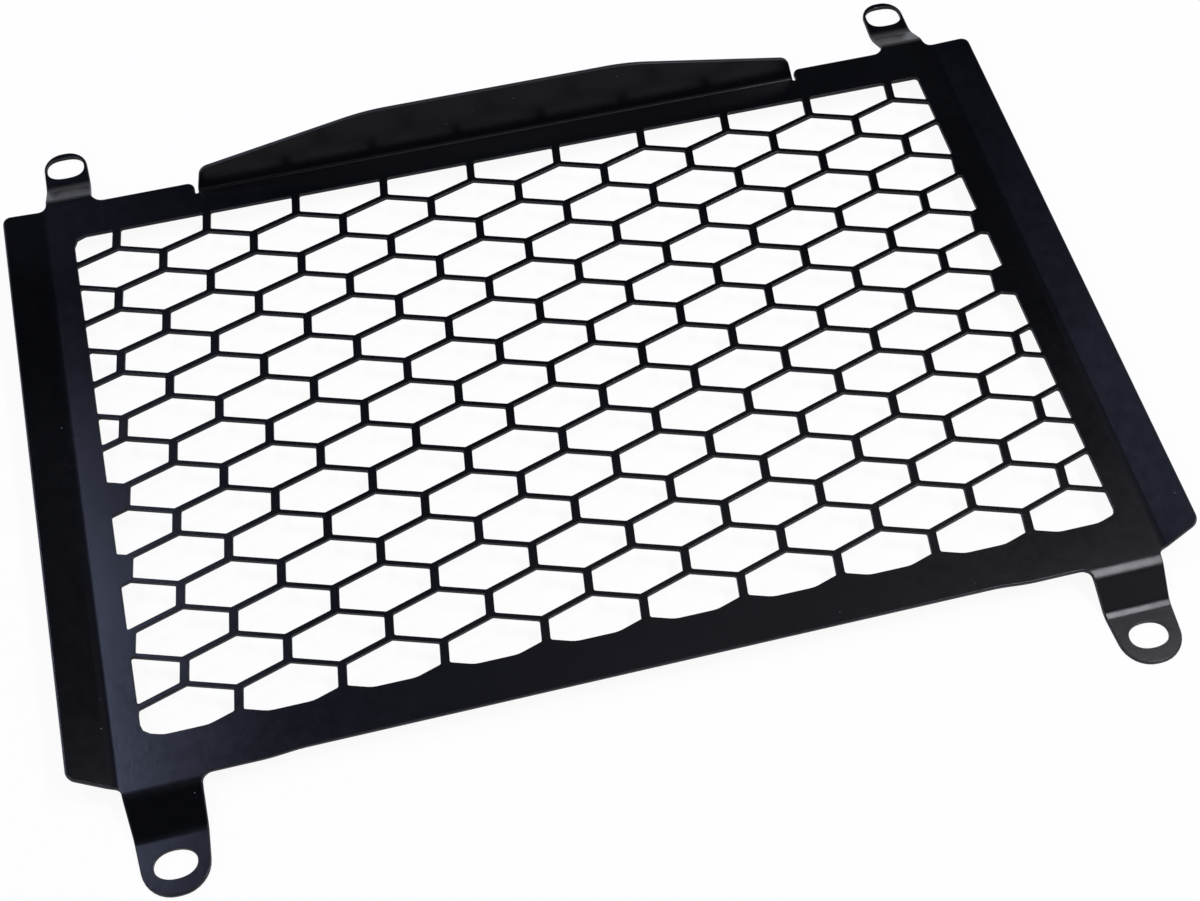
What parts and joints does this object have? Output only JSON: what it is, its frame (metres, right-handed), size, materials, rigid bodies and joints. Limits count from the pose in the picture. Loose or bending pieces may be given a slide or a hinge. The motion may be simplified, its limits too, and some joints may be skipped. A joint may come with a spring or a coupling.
{
  "type": "motorcycle radiator guard",
  "caption": "Folded sheet guard for a radiator: a flat face with a leaning honeycomb window, shallow side wings, a raised top flange and stepped lugs with slots.",
  "frame": {"origin": "under the middle of the outline, on the plane of the four lug seats that the guard lies or is bolted down on", "axes": "+X across the guard, to the right as seen from its front; +Y up the guard, towards the top flange; +Z out of its front face"},
  "size_m": [0.3386, 0.2726, 0.0264],
  "materials": {
    "powder_coat": "satin black powder coat on aluminium sheet"
  },
  "bodies": {
    "root": {"guard": "powder_coat"}
  },
  "joints": []
}
